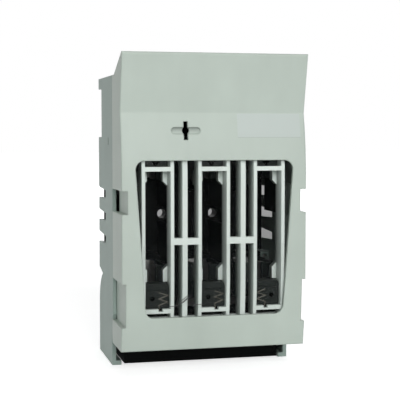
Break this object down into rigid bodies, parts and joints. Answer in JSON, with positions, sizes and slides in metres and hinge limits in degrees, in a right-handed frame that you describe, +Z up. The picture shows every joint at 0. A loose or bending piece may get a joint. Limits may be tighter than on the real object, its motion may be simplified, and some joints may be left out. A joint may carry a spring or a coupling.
{
  "type": "fuse switch disconnector",
  "caption": "Fuse switch disconnector with a grey housing, a hinged front cover with grip lip and clear window, a white fuse carrier and a black base.",
  "frame": {"origin": "middle of the underside of the whole device", "axes": "+Z up, the front with the cover faces -Y, +X to the right seen from the front"},
  "size_m": [0.106, 0.0854, 0.1788],
  "materials": {
    "light_grey": "satin",
    "black": "satin",
    "white": "satin",
    "dark_grey": "satin",
    "clear": "clear",
    "silvered": "silver plated",
    "steel": "zinc plated"
  },
  "bodies": {
    "base": {"housing": "light_grey", "base_body": "black", "base_screws": "steel", "lower_bay_cover": "black", "upper_bay_cover": "black", "hinge_pin_left": "steel", "hinge_pin_right": "steel", "lower_contact_1": "silvered", "lower_contact_2": "silvered", "lower_contact_3": "silvered", "upper_contact_1": "silvered", "upper_contact_2": "silvered", "upper_contact_3": "silvered", "lower_spring_1": "steel", "lower_spring_2": "steel", "lower_spring_3": "steel", "upper_spring_1": "steel", "upper_spring_2": "steel", "upper_spring_3": "steel", "lower_arc_chamber_1": "dark_grey", "lower_arc_chamber_2": "dark_grey", "lower_arc_chamber_3": "dark_grey", "upper_arc_chamber_1": "dark_grey", "upper_arc_chamber_2": "dark_grey", "upper_arc_chamber_3": "dark_grey", "terminal_bolts": "steel", "terminal_washers": "steel", "terminal_nuts": "steel"},
    "cover": {"cover": "light_grey", "window": "clear", "fuse_carrier": "white", "carrier_screws": "steel", "fuse_retainer_1": "dark_grey", "fuse_retainer_2": "dark_grey", "fuse_retainer_3": "dark_grey", "retaining_spring_1": "steel", "retaining_spring_2": "steel", "retaining_spring_3": "steel", "release_tab_1": "black", "release_tab_2": "black", "release_tab_3": "black"}
  },
  "joints": [
    {"name": "cover_hinge", "type": "hinge", "parent": "base", "child": "cover", "pos_m": [0, -0.02326, 0.0205], "axis": [1, 0, 0], "range_deg": [0, 90]}
  ]
}
